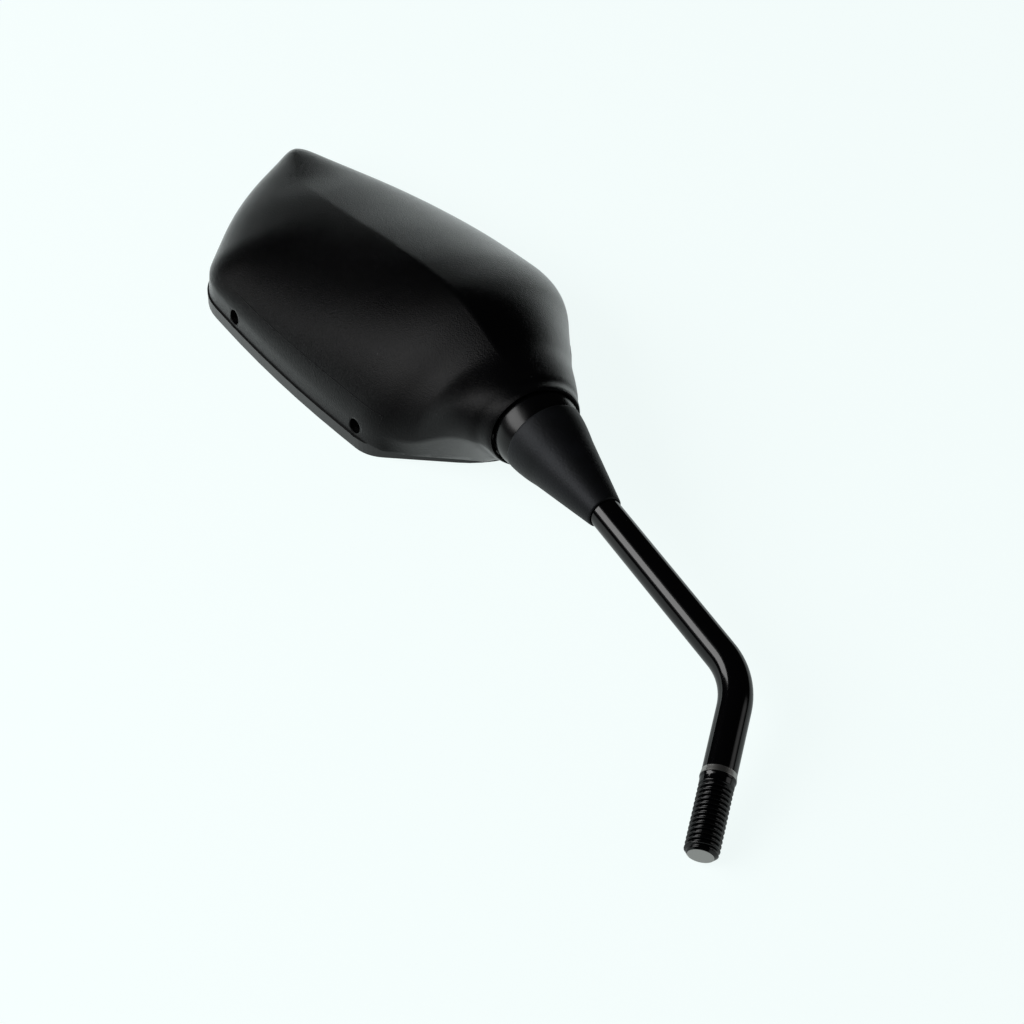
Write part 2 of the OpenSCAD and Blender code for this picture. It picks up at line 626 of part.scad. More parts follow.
module foam_pad() color("gray") in_head() difference() {
    intersection() {
        in_plan(0, band_h) polygon(shrink(holder_path, rim_w + foam_in));
        dished(back_r);
    }
    dished(web_r);
    boss_notches();
}

module mirror_glass() color("lightsteelblue") in_head() difference() {
    intersection() {
        in_plan(-over, band_h) polygon(shrink(holder_path, rim_w + glass_gap));
        dished(glass_r);
    }
    dished(back_r);
}

stem();
stem_ball();
dust_dome();
boot();
grip_ring();
seat_ring();
seat_cup();
ball_socket();
socket_screws();
socket_washers();
pressure_pad();
joint_spring();
spring_plate();
retaining_ring();
housing();
glass_holder();
holder_screws();
foam_pad();
mirror_glass();
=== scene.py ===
# Motorcycle mirror: the looks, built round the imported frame
import bisect
import json
import math

import bmesh
import bpy
from mathutils import Matrix, Vector


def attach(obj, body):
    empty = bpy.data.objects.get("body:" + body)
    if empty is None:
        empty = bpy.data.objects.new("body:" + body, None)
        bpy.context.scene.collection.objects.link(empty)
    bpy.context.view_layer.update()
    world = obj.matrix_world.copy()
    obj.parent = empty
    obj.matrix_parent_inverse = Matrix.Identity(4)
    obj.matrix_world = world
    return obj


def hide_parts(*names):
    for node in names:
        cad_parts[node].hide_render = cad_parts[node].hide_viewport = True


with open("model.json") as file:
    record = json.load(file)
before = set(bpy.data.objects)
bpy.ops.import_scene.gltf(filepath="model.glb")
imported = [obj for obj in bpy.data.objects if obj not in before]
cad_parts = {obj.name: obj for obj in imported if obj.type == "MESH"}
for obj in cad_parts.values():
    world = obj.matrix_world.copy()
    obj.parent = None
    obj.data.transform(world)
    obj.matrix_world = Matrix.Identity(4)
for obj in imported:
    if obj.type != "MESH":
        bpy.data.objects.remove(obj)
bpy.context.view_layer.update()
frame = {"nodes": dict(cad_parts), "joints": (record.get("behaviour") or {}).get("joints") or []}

MM = 0.001

# Where the ball joint lies in the row frame, and how the head is turned there, as on the real part
BALL = Vector(frame["joints"][0]["pos_m"])
BEND = math.radians(45)
HEAD_PAN, HEAD_TILT, HEAD_ROLL = math.radians(7), math.radians(13.7), math.radians(33)
NECK_ANGLE = math.radians(19.5)
BALL_H = 27.3

# Sizes of the head in millimetres, in its own frame: along the head, up, and out of its back
TOE, HEEL = Vector((49, -27.2)), Vector((144.3, -17.2))
TIP, BROW = Vector((181.8, 53.7)), Vector((46.2, 59.6))
CHIN_X, CHIN_Z = 18, 28
CROWN_H, TIP_H = 47, 17
NECK_R, LIP_R, LIP_DEEP, LIP_MORE, LIP_RAMP = 14.7, 13.95, 13, 0.22, 5
WALL, BAND_H, SPLIT_H, WALL_LEAN = 2.4, 15, 4.4, 1.2
GLASS_R, GLASS_T, GLASS_THIN, GLASS_LOW, RIM_W, GLASS_GAP = 1200, 2.0, 0.02, 0.7, 4.2, 0.3
GLASS_MID = Vector((98, 14))
ACCESS_X, ACCESS_H, ACCESS_D = (55.4, 123.8), 8.0, 5.0
SHARP = math.radians(50)

# Sizes of the stem and its covers in millimetres
STEM_R, THREAD_LEN, PITCH, THREAD_DEPTH, THREAD_FADE, END_CHAMFER = 5.0, 21.5, 1.5, 0.92, 1.2, 1.2
RUNOUT, COLLAR_R, COLLAR_CONE, COLLAR_TOP, COLLAR_SLOPE = 1.2, 5.25, 1.0, 4.3, 1.9
LOWER_LEN, UPPER_LEN, BEND_R = 34.8, 112, 24
BALL_R, SHOULDER_AT, NECK_D = 8.0, 12.8, 8.0
DOME_R, DOME_T, DOME_TO, NECK_PLAY = 13.6, 1.2, math.radians(101), 0.05
BOOT_FROM, BOOT_LEN, BOOT_MOUTH_R, BOOT_LAP, BOOT_T = 5.2, 34.6, 5.8, 0.5, 1.5
HIP_WIDE, HIP_DOWN, BOOT_GRIP, BOOT_PLAY = 0.7, 0.31, 10, 0.12

TO_HEAD = (Matrix.Translation(BALL) @ Matrix.Rotation(HEAD_PAN, 4, "Z")
           @ Matrix.Rotation(HEAD_TILT, 4, "X") @ Matrix.Rotation(-HEAD_ROLL, 4, "Y"))
TO_BALL = Matrix.Translation(BALL) @ Matrix.Rotation(BEND, 4, "Y")
HEAD_TURN = TO_HEAD.to_3x3()
# The way out of the head's back, which is also up from the table that the head lies on
BACK_WAY = HEAD_TURN @ Vector((0, 1, 0))


# Small helpers
def mix(a, b, t):
    """From a at t = 0 to b at t = 1."""
    return a + (b - a) * t


def smooth(t):
    """A step from 0 to 1 with soft ends."""
    t = min(max(t, 0.0), 1.0)
    return t * t * (3 - 2 * t)


def bump_at(x, centre, width):
    """A soft hump of height 1 about centre."""
    return math.exp(-((x - centre) / width) ** 2)


def bezier(points, t):
    """A point of the curve that the points pull towards them."""
    while len(points) > 1:
        points = [mix(a, b, t) for a, b in zip(points, points[1:])]
    return points[0]


def skin(across, along, place):
    """A grid whose points place() puts, with u across it and v along it from 0 to 1, as a bmesh."""
    bm = bmesh.new()
    bmesh.ops.create_grid(bm, x_segments=across, y_segments=along, size=0.5)
    for v in bm.verts:
        v.co = place(v.co.x + 0.5, v.co.y + 0.5)
    bmesh.ops.remove_doubles(bm, verts=bm.verts, dist=1e-7)
    return bm


def turned(profile, steps, axis_place):
    """A closed profile of (radius, height) points in millimetres, turned about the upright of axis_place."""
    bm = bmesh.new()
    rim = [bm.verts.new((r * MM, 0, z * MM)) for r, z in profile]
    edges = [bm.edges.new((a, b)) for a, b in zip(rim, rim[1:] + rim[:1])]
    bmesh.ops.spin(bm, geom=rim + edges, cent=(0, 0, 0), axis=(0, 0, 1), dvec=(0, 0, 0),
                   angle=math.tau, steps=steps, use_merge=True, use_duplicate=False)
    bmesh.ops.remove_doubles(bm, verts=bm.verts, dist=1e-7)
    outward(bm)
    bmesh.ops.transform(bm, matrix=axis_place, verts=bm.verts)
    return bm


def outward(bm):
    """Turns all faces away from the middle, for an open skin as well as for a closed one."""
    bmesh.ops.recalc_face_normals(bm, faces=bm.faces)
    middle = sum((v.co for v in bm.verts), Vector()) / len(bm.verts)
    if sum(f.normal.dot(f.calc_center_median() - middle) * f.calc_area() for f in bm.faces) < 0:
        bmesh.ops.reverse_faces(bm, faces=bm.faces)


def placed(name, data):
    """A new object in the scene, which holds a mesh, a lamp or a camera."""
    made = bpy.data.objects.new(name, data)
    bpy.context.scene.collection.objects.link(made)
    return made


def mesh_of(name, bm):
    """The bmesh as a mesh; the bmesh is used up."""
    mesh = bpy.data.meshes.new(name)
    bm.to_mesh(mesh)
    bm.free()
    return mesh


def piece(name, bm, body, materials, stands_for=()):
    """The bmesh as a smooth-shaded piece that rides on a body."""
    mesh = mesh_of(name, bm)
    mesh.shade_smooth()
    for m in materials:
        mesh.materials.append(m)
    made = placed(name, mesh)
    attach(made, body)
    if stands_for:
        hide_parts(*stands_for)
    return made


def settle(made):
    """Applies the modifiers, so that the mesh is the finished form."""
    ready = bpy.data.meshes.new_from_object(made.evaluated_get(bpy.context.evaluated_depsgraph_get()))
    made.modifiers.clear()
    made.data = ready
    return made


def modifier(made, kind, **settings):
    """Gives an object a modifier of that kind with its settings."""
    m = made.modifiers.new(kind.title(), kind)
    for key, value in settings.items():
        setattr(m, key, value)


# Materials
def linear(hex_colour):
    """An sRGB hex colour as linear red, green, blue and alpha."""
    parts = [int(hex_colour[i:i + 2], 16) / 255 for i in (1, 3, 5)]
    return [p / 12.92 if p <= 0.04045 else ((p + 0.055) / 1.055) ** 2.4 for p in parts] + [1.0]


def feed(tree, node, inputs):
    """Sets a node's inputs, each to a value or to the socket that feeds it."""
    for key, value in inputs.items():
        if isinstance(value, bpy.types.NodeSocket):
            tree.links.new(value, node.inputs[key])
        else:
            node.inputs[key].default_value = value


def add(tree, kind, inputs=None, **settings):
    """A new node of that kind with its settings and its inputs."""
    node = tree.nodes.new(kind)
    for key, value in settings.items():
        setattr(node, key, value)
    feed(tree, node, inputs or {})
    return node


def finish_named(name):
    """A new material with its node tree, its shader and the coordinates of the piece."""
    made = bpy.data.materials.new(name)
    made.use_nodes = True
    tree = made.node_tree
    tree.nodes.clear()
    shader = add(tree, "ShaderNodeBsdfPrincipled")
    out = add(tree, "ShaderNodeOutputMaterial")
    tree.links.new(shader.outputs[0], out.inputs[0])
    place = add(tree, "ShaderNodeTexCoord").outputs["Object"]
    return made, tree, shader, place


def grey(level):
    """A plain linear grey, as a share of full white."""
    return [level, level, level, 1.0]


def ramp(tree, fac, stops):
    """A colour ramp between two (position, colour) stops."""
    node = add(tree, "ShaderNodeValToRGB", {"Fac": fac})
    for (position, colour), element in zip(stops, node.color_ramp.elements):
        element.position, element.color = position, colour
    return node.outputs["Color"]


def grained_abs():
    """Moulded ABS with a spark-eroded grain of about 0.45 mm, which breaks up the sheen of the shell."""
    made, tree, shader, place = finish_named("moulded_abs_grain")
    grain = add(tree, "ShaderNodeTexVoronoi", {"Vector": place, "Scale": 1 / (0.45 * MM)},
                feature="SMOOTH_F1")
    fine = add(tree, "ShaderNodeTexNoise", {"Vector": place, "Scale": 1 / (0.22 * MM), "Detail": 2.0})
    both = add(tree, "ShaderNodeMath", {0: grain.outputs["Distance"], 1: fine.outputs["Fac"]},
               operation="ADD")
    bump = add(tree, "ShaderNodeBump", {"Height": both.outputs[0], "Strength": 0.7, "Distance": 0.09 * MM})
    # Handling leaves the sheen slightly uneven over stretches of about 30 mm
    patch = add(tree, "ShaderNodeTexNoise", {"Vector": place, "Scale": 1 / (30 * MM), "Detail": 3.0})
    rough = add(tree, "ShaderNodeMapRange", {"Value": patch.outputs["Fac"], "To Min": 0.27, "To Max": 0.31})
    # Specks of dust, under 0.3 mm and far apart
    speck = add(tree, "ShaderNodeTexVoronoi", {"Vector": place, "Scale": 1 / (6 * MM)})
    dust = ramp(tree, speck.outputs["Distance"], [(0.0, linear("#7A7E80")), (0.026, linear("#050506"))])
    # The pits of the grain swallow most of what falls straight in, and little of what grazes the skin
    feed(tree, shader, {"Base Color": dust, "Roughness": rough.outputs[0], "Normal": bump.outputs[0],
                        "IOR": 1.55, "Specular Tint": grey(0.1)})
    return made


def polished_plastic():
    """Polished moulded plastic: nearly black gloss, a little dulled, with a faint ripple from the mould."""
    made, tree, shader, place = finish_named("polished_black_plastic")
    ripple = add(tree, "ShaderNodeTexNoise", {"Vector": place, "Scale": 1 / (6 * MM), "Detail": 1.0})
    bump = add(tree, "ShaderNodeBump", {"Height": ripple.outputs["Fac"], "Strength": 0.05,
                                        "Distance": 0.1 * MM})
    feed(tree, shader, {"Base Color": linear("#030304"), "Roughness": 0.24, "Normal": bump.outputs[0],
                        "IOR": 1.5, "Specular Tint": grey(0.68)})
    return made


def moulded_rubber():
    """Moulded EPDM rubber: matte with a fine skin, and a painted sheen that makes the colour a little paler
    in random patches.
    """
    made, tree, shader, place = finish_named("moulded_rubber")
    skin_noise = add(tree, "ShaderNodeTexNoise", {"Vector": place, "Scale": 1 / (0.9 * MM), "Detail": 5.0})
    bump = add(tree, "ShaderNodeBump", {"Height": skin_noise.outputs["Fac"], "Strength": 0.6,
                                        "Distance": 0.12 * MM})
    # Painted sheen: the base colour is a little paler in random patches of about 8 mm
    patch = add(tree, "ShaderNodeTexNoise", {"Vector": place, "Scale": 1 / (8 * MM), "Detail": 2.0})
    painted_sheen_tone = ramp(tree, patch.outputs["Fac"], [(0.35, linear("#08090A")), (0.7, linear("#0E0F12"))])
    # Carbon black takes up part of the sheen and leaves it slightly blue
    feed(tree, shader, {"Base Color": painted_sheen_tone, "Roughness": 0.5, "Normal": bump.outputs[0], "IOR": 1.5,
                        "Specular Tint": [0.42, 0.44, 0.47, 1.0]})
    return made


def stove_lacquer():
    """Stove-enamelled steel rod: deep black gloss with a faint orange peel of about 3 mm."""
    made, tree, shader, place = finish_named("black_stove_lacquer")
    peel = add(tree, "ShaderNodeTexNoise", {"Vector": place, "Scale": 1 / (3 * MM), "Detail": 1.0})
    bump = add(tree, "ShaderNodeBump", {"Height": peel.outputs["Fac"], "Strength": 0.08,
                                        "Distance": 0.1 * MM})
    feed(tree, shader, {"Base Color": linear("#030304"), "Roughness": 0.11, "Normal": bump.outputs[0],
                        "IOR": 1.5})
    return made


def steel(name, colour, roughness, turning_mm):
    """Turned or drawn steel with rings or streaks of the tool, about turning_mm apart."""
    made, tree, shader, place = finish_named(name)
    marks = add(tree, "ShaderNodeTexNoise", {"Vector": place, "Scale": 1 / (turning_mm * MM),
                                             "Detail": 3.0})
    bump = add(tree, "ShaderNodeBump", {"Height": marks.outputs["Fac"], "Strength": 0.2,
                                        "Distance": 0.02 * MM})
    feed(tree, shader, {"Base Color": linear(colour), "Metallic": 1.0, "Roughness": roughness,
                        "Normal": bump.outputs[0]})
    return made


def plain_moulding(name, colour, roughness):
    """Plain injection-moulded plastic with a fine satin skin."""
    made, tree, shader, place = finish_named(name)
    skin_noise = add(tree, "ShaderNodeTexNoise", {"Vector": place, "Scale": 1 / (0.6 * MM), "Detail": 2.0})
    bump = add(tree, "ShaderNodeBump", {"Height": skin_noise.outputs["Fac"], "Strength": 0.2,
                                        "Distance": 0.03 * MM})
    feed(tree, shader, {"Base Color": linear(colour), "Roughness": roughness, "Normal": bump.outputs[0]})
    return made


def silvered_glass():
    """Convex glass silvered on its back, seen as one clean mirror with the glass's faint green."""
    made, tree, shader, place = finish_named("silvered_glass")
    haze = add(tree, "ShaderNodeTexNoise", {"Vector": place, "Scale": 1 / (25 * MM), "Detail": 2.0})
    rough = add(tree, "ShaderNodeMapRange", {"Value": haze.outputs["Fac"], "To Min": 0.01, "To Max": 0.03})
    feed(tree, shader, {"Base Color": linear("#E6EDEB"), "Metallic": 1.0, "Roughness": rough.outputs[0]})
    return made


# The head's skin, by the same sections as the solid
CORNER_STEPS = 14
BOTTOM_BOW, OUTER_BOW, TOP_BOW = Vector((0, -3.2)), Vector((5, -2)), Vector((0, 9))


def corner(a, v, b, cut):
    """A corner at v between a and b, rounded from cut before it to cut after it."""
    p, q = v + (a - v).normalized() * cut, v + (b - v).normalized() * cut
    return [bezier([p, v, q], i / CORNER_STEPS) for i in range(CORNER_STEPS + 1)]


def head_plan():
    """The corners of the head and the bows of its long sides, each with the length that rounds it."""
    bottom, outer = mix(TOE, HEEL, 0.5) + BOTTOM_BOW, mix(HEEL, TIP, 0.5) + OUTER_BOW
    top = mix(BROW, TIP, 0.5) + TOP_BOW
    return [(TOE, 5.5), (bottom, 34), (HEEL, 8.5), (outer, 18), (TIP, 9.5), (top, 46), (BROW, 12)]


NECK_AXIS = Vector((math.cos(NECK_ANGLE), math.sin(NECK_ANGLE)))
MOUTH_WAY = HEAD_TURN @ Vector((NECK_AXIS.x, 0, NECK_AXIS.y))
NECK_SIDE = NECK_R * Vector((-NECK_AXIS.y, NECK_AXIS.x))
INNER_LOW, INNER_HIGH = Vector((CHIN_X, 0)), Vector((CHIN_X - 6, CHIN_Z))


def side_arcs():
    """The plan's rounded outline, split at the middle of the tip into a lower and an upper run."""
    plan = [(-NECK_SIDE, 0)] + head_plan() + [(NECK_SIDE, 0)]
    arcs = [corner(plan[i - 1][0], plan[i][0], plan[i + 1][0], plan[i][1]) for i in range(1, 8)]
    tip = arcs[4]
    half = len(tip) // 2
    low = [p for arc in arcs[:4] for p in arc] + tip[:half + 1]
    high = [p for arc in reversed(arcs[5:]) for p in reversed(arc)] + tip[:half - 1:-1]
    return low, high


class Side:
    """One side of the head: the flank and the rim as paths that share one measure from 0 to 1."""

    def __init__(self, sign, neck, inner, arcs):
        self.sign, self.flank, self.rim = sign, [neck] + arcs, [inner] + arcs
        steps = [(b - a).length for a, b in zip(self.flank, self.flank[1:])]
        total, run, self.share = sum(steps), 0.0, [0.0]
        for step in steps:
            run += step
            self.share.append(run / total)
        self.neck_share = self.share[1]

    def at(self, path, f):
        """The point of a path at the share f of the side."""
        i = min(max(bisect.bisect_right(self.share, f) - 1, 0), len(path) - 2)
        span = self.share[i + 1] - self.share[i]
        return mix(path[i], path[i + 1], min(max((f - self.share[i]) / span, 0), 1))

    def inward(self, path, f):
        """The way from a path into the head, over a short stretch on both sides of f."""
        stretch = 0.012
        d = (self.at(path, min(f + stretch, 1)) - self.at(path, max(f - stretch, 0))).normalized()
        return self.sign * Vector((-d.y, d.x))


LOW_ARCS, HIGH_ARCS = side_arcs()
LOW_SIDE = Side(1, -NECK_SIDE, INNER_LOW, LOW_ARCS)
HIGH_SIDE = Side(-1, NECK_SIDE, INNER_HIGH, HIGH_ARCS)
RIDGE = [Vector(p) for p in (
    (0, 0, BALL_H + NECK_R), (20, 4, BALL_H + NECK_R + 0.6), (42, 9, CROWN_H), (66, 14, CROWN_H - 3),
    (92, 19.5, CROWN_H - 9), (117, 24.5, CROWN_H - 15.5), (138, 29, CROWN_H - 21),
    (154.5, 34.5, CROWN_H - 26), (TIP.x - 11, TIP.y - 8, TIP_H))]
NECK_SHARE, RIM_SHARE, TIP_SHARE = 0.14, 0.03, 0.06
# How far round the neck the roof starts on each side, and the front edge, in degrees from the ridge
LOW_FOOT_TURN, HIGH_FOOT_TURN, FRONT_TURN = 106, 90, 125
LOW_BAND_H, LOW_NECK_H = 10, BALL_H + NECK_R * math.cos(math.radians(LOW_FOOT_TURN))
BAND_DROP = 3
# How full the roof is over its foot, how flat it meets the ridge, how far it keeps level, and its lean
LOW_ROOF, HIGH_ROOF = (0.4, 0.2, 0.45, 0.07), (0.55, 0.07, 0.5, 0)
NECK_ROOF, TIP_ROOF = (0.56, 0, 0.56, 0), (0.5, 0.1, 0.48, 0.05)
WALL_ROWS, ROOF_ROWS, CHIN_ROWS = 8, 44, 14
NEAR_STEP, NEAR_COUNT, FAR_COUNT = 0.0013, 26, 130
LIP_REACH, LIP_SWELL, LIP_DIP = 12, 0.15, 0.25


def spline(points, t):
    """A point of the smooth curve that runs through all points, for t from 0 to 1."""
    n = len(points) - 1
    i = min(int(t * n), n - 1)
    u = t * n - i
    a, b, c, d = points[max(i - 1, 0)], points[i], points[i + 1], points[min(i + 2, n)]
    return 0.5 * (2 * b + (c - a) * u + (2 * a - 5 * b + 4 * c - d) * u * u
                  + (3 * b - a - 3 * c + d) * u ** 3)


def half_section(side, f):
    """Points of one half of a section, as (along, up, height), from the front edge to the ridge."""
    low = side.sign > 0
    neck = 1 - smooth(f / side.neck_share)
    edge = side.at(side.rim, f)
    foot = side.at(side.flank, f) + side.inward(side.flank, f) * WALL_LEAN
    outer = smooth(2 * f - 1)
    band = mix(BAND_H, BAND_H - BAND_DROP, outer)
    if low:
        band = mix(LOW_BAND_H, band, outer)
    band = mix(band, LOW_NECK_H if low else BALL_H, neck)
    crest = spline(RIDGE, f)
    rise, to = crest.z - band, crest.xy
    end = smooth((f - 1 + TIP_SHARE) / TIP_SHARE)
    full, flat, reach, lean = (mix(mix(here, at_neck, neck), at_tip, end) for here, at_neck, at_tip
                               in zip(LOW_ROOF if low else HIGH_ROOF, NECK_ROOF, TIP_ROOF))
    roof = [foot.to_3d() + Vector((0, 0, band)),
            mix(foot, to, lean).to_3d() + Vector((0, 0, band + rise * full)),
            mix(to, foot, reach).to_3d() + Vector((0, 0, crest.z - rise * flat)), crest]
    start = edge.to_3d()
    wall = [mix(start, roof[0], i / WALL_ROWS) for i in range(WALL_ROWS)]
    return wall + [bezier(roof, i / ROOF_ROWS) for i in range(ROOF_ROWS + 1)]


def section(f):
    """A whole closed section: lower half, upper half, then the front from the upper edge to the lower."""
    low, high = half_section(LOW_SIDE, f), half_section(HIGH_SIDE, f)
    a, b = LOW_SIDE.at(LOW_SIDE.flank, f), HIGH_SIDE.at(HIGH_SIDE.flank, f)
    width, across, mid = (b - a).length / 2, (b - a).normalized(), (a + b) / 2
    top = low[-1].z - BALL_H
    turns = {sign: [mix(FRONT_TURN, foot, i / WALL_ROWS) for i in range(WALL_ROWS)]
             + [mix(foot, 0, i / ROOF_ROWS) for i in range(ROOF_ROWS + 1)]
             for sign, foot in ((1, LOW_FOOT_TURN), (-1, HIGH_FOOT_TURN))}
    body, rim = smooth(f / NECK_SHARE), smooth(f / RIM_SHARE)

    def rounded(t, sign):
        t = math.radians(t)
        p = mid - sign * across * width * math.sin(t)
        return Vector((p.x, p.y, BALL_H + math.cos(t) * (top if math.cos(t) > 0 else NECK_R)))

    def blended(flat, sign):
        return [mix(rounded(turns[sign][i], sign), flat[i], mix(rim, body, min(i / WALL_ROWS, 1)))
                for i in range(len(flat))]

    steps = [i / (CHIN_ROWS + 1) for i in range(1, CHIN_ROWS + 1)]
    chin = [mix(rounded(mix(FRONT_TURN, 360 - FRONT_TURN, t), -1), mix(high[0], low[0], t), rim)
            for t in steps]
    return blended(low, 1) + blended(high, -1)[-2::-1] + chin


def from_head(p):
    """A point given as (along, up, height above the front edge) in millimetres, in the row frame."""
    return TO_HEAD @ (Vector((p[0], p[2] - BALL_H, p[1])) * MM)


def lip_swell(d):
    """Height of the rolled lip round the neck's mouth, and of the shallow dip behind it, in millimetres."""
    return LIP_SWELL * bump_at(d, 1.0, 1.1) - LIP_DIP * bump_at(d, 4.3, 1.7)


def behind_mouth(point):
    """How far a point lies behind the plane of the neck's mouth, in millimetres."""
    return (point - BALL).dot(MOUTH_WAY) / MM


def station_shares():
    """Where the sections lie, from 0 at the neck's mouth to 1 at the tip, closest near the mouth."""
    near = [NEAR_STEP * i for i in range(NEAR_COUNT)]
    steps = [i / FAR_COUNT for i in range(1, FAR_COUNT + 1)]
    rest = [near[-1] + (1 - near[-1]) * (t - 0.05 * math.sin(math.tau * t)) for t in steps]
    return [min(f, 0.9999) for f in near + rest]


def head_shell():
    """The outer skin of the head, with its lip, closed at the tip and open at the mouth."""
    rib = WALL_ROWS + ROOF_ROWS
    ring = 2 * rib + 1 + CHIN_ROWS
    shares = station_shares()
    sections = [[from_head(p) for p in section(f)] for f in shares]
    sections[-1] = [sections[-1][i if i <= rib else max(2 * rib - i, 0)] for i in range(ring)]
    bm = skin(ring, len(shares) - 1,
              lambda u, v: sections[round(v * (len(shares) - 1))][round(u * ring) % ring])
    outward(bm)
    # Rolled lip: the skin swells and sinks along its normals, by the distance from the mouth
    bm.normal_update()
    for v in bm.verts:
        d = behind_mouth(v.co)
        if d < LIP_REACH:
            v.co += v.normal * lip_swell(d) * MM
    return bm


def build_witness_line(grain):
    """The thin line that the mould's insert leaves above the lower edge, as a fine bead."""
    bead_r, sides, fade = 0.11 * MM, 6, 6
    start, end, row, steps = 0.193, 0.575, 7, 120
    path = [half_section(LOW_SIDE, start)[WALL_ROWS + i] for i in range(row)]
    path += [half_section(LOW_SIDE, mix(start, end, i / steps))[WALL_ROWS + row] for i in range(steps + 1)]
    path = [from_head(p) for p in path]
    last = len(path) - 1

    def place(u, v):
        i = round(v * last)
        way = (path[min(i + 1, last)] - path[max(i - 1, 0)]).normalized()
        side = way.orthogonal().normalized()
        a = math.tau * (round(u * sides) % sides) / sides
        size = bead_r * min(1.0, 0.15 + min(i, last - i) / fade)
        return path[i] + (side * math.cos(a) + way.cross(side) * math.sin(a)) * size

    bm = skin(sides, last, place)
    bmesh.ops.holes_fill(bm, edges=[e for e in bm.edges if e.is_boundary], sides=0)
    outward(bm)
    return piece("witness_line", bm, "head", [grain])


def build_housing(grain):
    """The moulded shell: its skin cut level at the seam, thickened inwards and drilled for the screws."""
    bm = head_shell()
    bmesh.ops.bisect_plane(bm, geom=bm.verts[:] + bm.edges[:] + bm.faces[:], dist=1e-7,
                           plane_co=from_head((0, 0, SPLIT_H)), plane_no=BACK_WAY, clear_inner=True)
    made = piece("housing_shell", bm, "head", [grain], ["housing"])
    # The wall is thinner round the neck's mouth, where the dome runs, and grows to its full size behind it
    walls = made.vertex_groups.new(name="wall")
    thin = (NECK_R - LIP_R + LIP_MORE) / WALL
    for v in made.data.vertices:
        share = mix(thin, 1.0, smooth((behind_mouth(v.co) - LIP_DEEP) / LIP_RAMP))
        walls.add([v.index], share, "REPLACE")
    modifier(made, "SOLIDIFY", thickness=WALL * MM, offset=-1, use_quality_normals=True,
             vertex_group="wall")
    modifier(made, "BEVEL", width=0.18 * MM, segments=2, limit_method="ANGLE", angle_limit=SHARP)
    for x in ACCESS_X:
        drill(made, x)
    return settle(made)


def facing(spot, way):
    """The placement that puts a thing's middle at the spot with its upright along the way."""
    return Matrix.Translation(spot) @ way.to_track_quat("Z", "Y").to_matrix().to_4x4()


def edge_z(x):
    """Height of the lower edge of the plan at a distance along the head."""
    past_toe = 2
    run = [p for p in LOW_SIDE.flank if p.x > TOE.x + past_toe and p.y < 0]
    for a, b in zip(run, run[1:]):
        if a.x <= x <= b.x:
            return mix(a.y, b.y, (x - a.x) / (b.x - a.x))
    return run[0].y


def drill(made, x):
    """Bores one screw's access hole through the side wall with a round cutter, then drops the cutter."""
    lean = math.atan2(HEEL.y - TOE.y, HEEL.x - TOE.x)
    inwards = HEAD_TURN @ Vector((-math.sin(lean), 0, math.cos(lean)))
    radius, depth = ACCESS_D / 2 * MM, 12 * MM
    bm = bmesh.new()
    bmesh.ops.create_cone(bm, cap_ends=True, segments=48, radius1=radius, radius2=radius, depth=depth)
    bmesh.ops.transform(bm, matrix=facing(from_head((x, edge_z(x), ACCESS_H)), inwards), verts=bm.verts)
    cutter = placed("cutter", mesh_of("cutter", bm))
    modifier(made, "BOOLEAN", operation="DIFFERENCE", solver="MANIFOLD", object=cutter)
    settle(made)
    bpy.data.objects.remove(cutter)


# The stem and what sits on it
BEND_REACH = BEND_R * math.tan(BEND / 2)
STRAIGHT, ARC = THREAD_LEN + LOWER_LEN - BEND_REACH, BEND_R * BEND
ROD_LEN = STRAIGHT + ARC + UPPER_LEN - BEND_REACH - SHOULDER_AT


def stem_path(s):
    """Centre and lean of the rod at a distance from its threaded end, in millimetres and radians."""
    if s <= STRAIGHT:
        return Vector((0, 0, s - THREAD_LEN)), 0.0
    lean = min((s - STRAIGHT) / BEND_R, BEND)
    centre = Vector((BEND_R * (1 - math.cos(lean)), 0, LOWER_LEN - BEND_REACH + BEND_R * math.sin(lean)))
    past_bend = max(s - STRAIGHT - ARC, 0)
    return centre + Vector((math.sin(lean), 0, math.cos(lean))) * past_bend, lean


def stem_radius(s, turn):
    """Radius of the rod at a distance from its threaded end, with the thread as a helical groove."""
    z = s - THREAD_LEN
    collar = min(smooth((z - RUNOUT) / COLLAR_CONE), min(1, max(0, (COLLAR_TOP - z) / COLLAR_SLOPE)))
    r = STEM_R + (COLLAR_R - STEM_R) * collar
    if z < 0:
        phase = (s / PITCH - turn) % 1.0
        groove = smooth(1.6 * (1 - abs(2 * phase - 1)) - 0.2)
        fade = min(1, max(0, -z / THREAD_FADE))
        r -= THREAD_DEPTH * groove * fade
    return min(r, STEM_R - END_CHAMFER + s)


